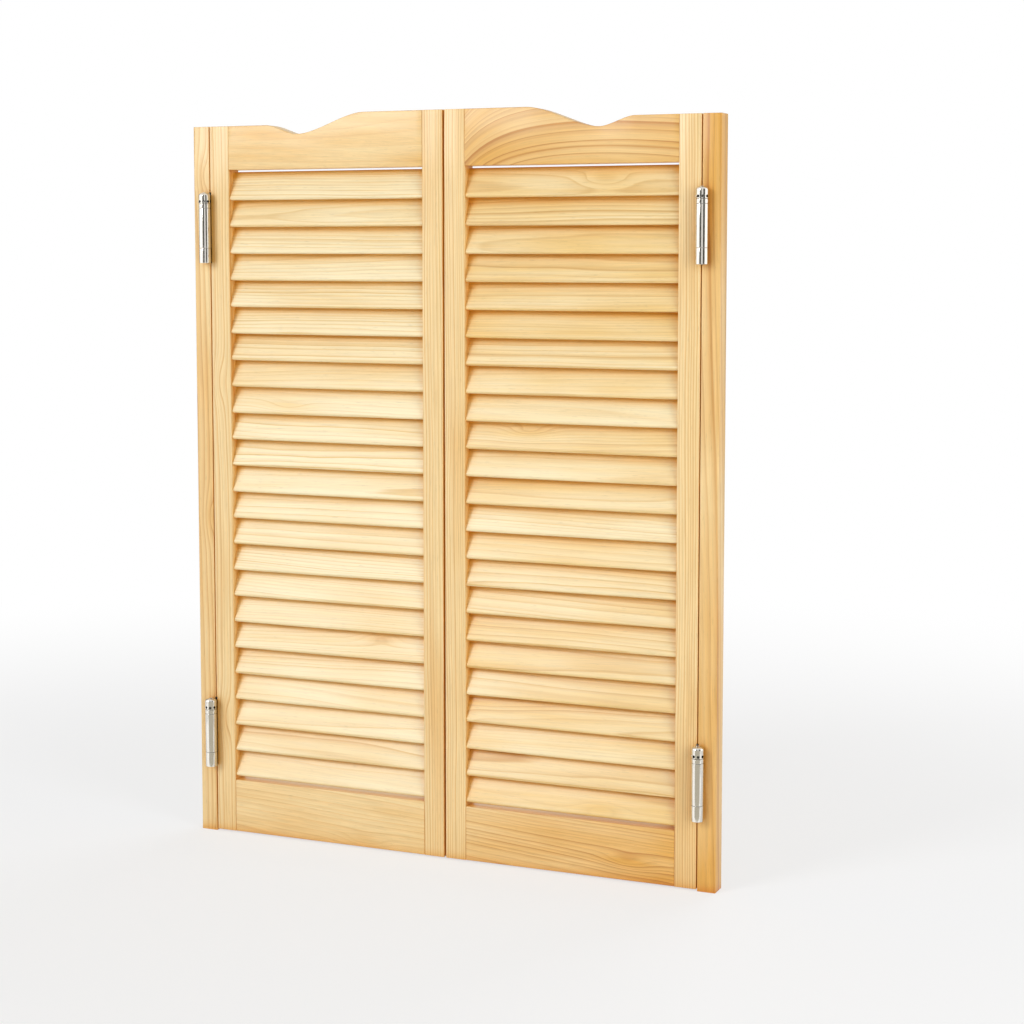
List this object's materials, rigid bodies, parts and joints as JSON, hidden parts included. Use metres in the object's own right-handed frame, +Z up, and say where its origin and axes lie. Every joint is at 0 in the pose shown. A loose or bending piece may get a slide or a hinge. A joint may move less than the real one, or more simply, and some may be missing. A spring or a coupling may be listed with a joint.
{
  "type": "cafe swinging doors",
  "caption": "Pair of louvred pine half doors with curved tops, hung on jamb strips by double-action spring hinges so they swing both ways and close by themselves.",
  "frame": {"origin": "middle of the opening at the foot of the jamb strips, halfway through the timber", "axes": "+X across the opening to the right as seen from the front, +Y to the rear, +Z up; the front of the doors faces -Y"},
  "size_m": [0.805, 0.063, 1.06],
  "materials": {
    "pine": "planed pine, clear satin lacquer",
    "pine_slats": "planed pine, clear satin lacquer",
    "nickel": "bright nickel plate on rolled steel",
    "spring_steel": "drawn spring wire"
  },
  "bodies": {
    "jamb": {"left_jamb_strip": "pine", "right_jamb_strip": "pine", "left_upper_hinge_jamb_leaf": "nickel", "left_upper_hinge_front_tension_collar": "nickel", "left_upper_hinge_front_spindle": "nickel", "left_upper_hinge_front_tension_pin": "nickel", "left_lower_hinge_jamb_leaf": "nickel", "left_lower_hinge_front_tension_collar": "nickel", "left_lower_hinge_front_spindle": "nickel", "left_lower_hinge_front_tension_pin": "nickel", "right_upper_hinge_jamb_leaf": "nickel", "right_upper_hinge_rear_tension_collar": "nickel", "right_upper_hinge_rear_spindle": "nickel", "right_upper_hinge_rear_tension_pin": "nickel", "right_lower_hinge_jamb_leaf": "nickel", "right_lower_hinge_rear_tension_collar": "nickel", "right_lower_hinge_rear_spindle": "nickel", "right_lower_hinge_rear_tension_pin": "nickel"},
    "left_hinge_web": {"left_upper_hinge_web": "nickel", "left_upper_hinge_front_spring": "spring_steel", "left_upper_hinge_rear_spring": "spring_steel", "left_lower_hinge_web": "nickel", "left_lower_hinge_front_spring": "spring_steel", "left_lower_hinge_rear_spring": "spring_steel"},
    "left_door": {"left_hinge_stile": "pine", "left_meeting_stile_with_slats": "pine_slats", "left_top_rail": "pine", "left_bottom_rail": "pine", "left_upper_hinge_door_leaf": "nickel", "left_upper_hinge_rear_tension_collar": "nickel", "left_upper_hinge_rear_spindle": "nickel", "left_upper_hinge_rear_tension_pin": "nickel", "left_lower_hinge_door_leaf": "nickel", "left_lower_hinge_rear_tension_collar": "nickel", "left_lower_hinge_rear_spindle": "nickel", "left_lower_hinge_rear_tension_pin": "nickel"},
    "right_hinge_web": {"right_upper_hinge_web": "nickel", "right_upper_hinge_front_spring": "spring_steel", "right_upper_hinge_rear_spring": "spring_steel", "right_lower_hinge_web": "nickel", "right_lower_hinge_front_spring": "spring_steel", "right_lower_hinge_rear_spring": "spring_steel"},
    "right_door": {"right_hinge_stile": "pine", "right_meeting_stile_with_slats": "pine_slats", "right_top_rail": "pine", "right_bottom_rail": "pine", "right_upper_hinge_door_leaf": "nickel", "right_upper_hinge_front_tension_collar": "nickel", "right_upper_hinge_front_spindle": "nickel", "right_upper_hinge_front_tension_pin": "nickel", "right_lower_hinge_door_leaf": "nickel", "right_lower_hinge_front_tension_collar": "nickel", "right_lower_hinge_front_spindle": "nickel", "right_lower_hinge_front_tension_pin": "nickel"}
  },
  "joints": [
    {"name": "left_front_swing", "type": "hinge", "parent": "jamb", "child": "left_hinge_web", "pos_m": [-0.3792, -0.0232, 0.5225], "axis": [0, 0, 1], "range_deg": [-90, 0], "stiffness_Nm_per_rad": 1.2, "springref_deg": 14.32},
    {"name": "left_rear_swing", "type": "hinge", "parent": "left_hinge_web", "child": "left_door", "pos_m": [-0.3792, 0.0232, 0.5225], "axis": [0, 0, 1], "range_deg": [0, 90], "stiffness_Nm_per_rad": 1.2, "springref_deg": -14.32},
    {"name": "right_rear_swing", "type": "hinge", "parent": "jamb", "child": "right_hinge_web", "pos_m": [0.3792, 0.0232, 0.5225], "axis": [0, 0, -1], "range_deg": [0, 90], "stiffness_Nm_per_rad": 1.2, "springref_deg": -14.32},
    {"name": "right_front_swing", "type": "hinge", "parent": "right_hinge_web", "child": "right_door", "pos_m": [0.3792, -0.0232, 0.5225], "axis": [0, 0, -1], "range_deg": [-90, 0], "stiffness_Nm_per_rad": 1.2, "springref_deg": 14.32}
  ]
}
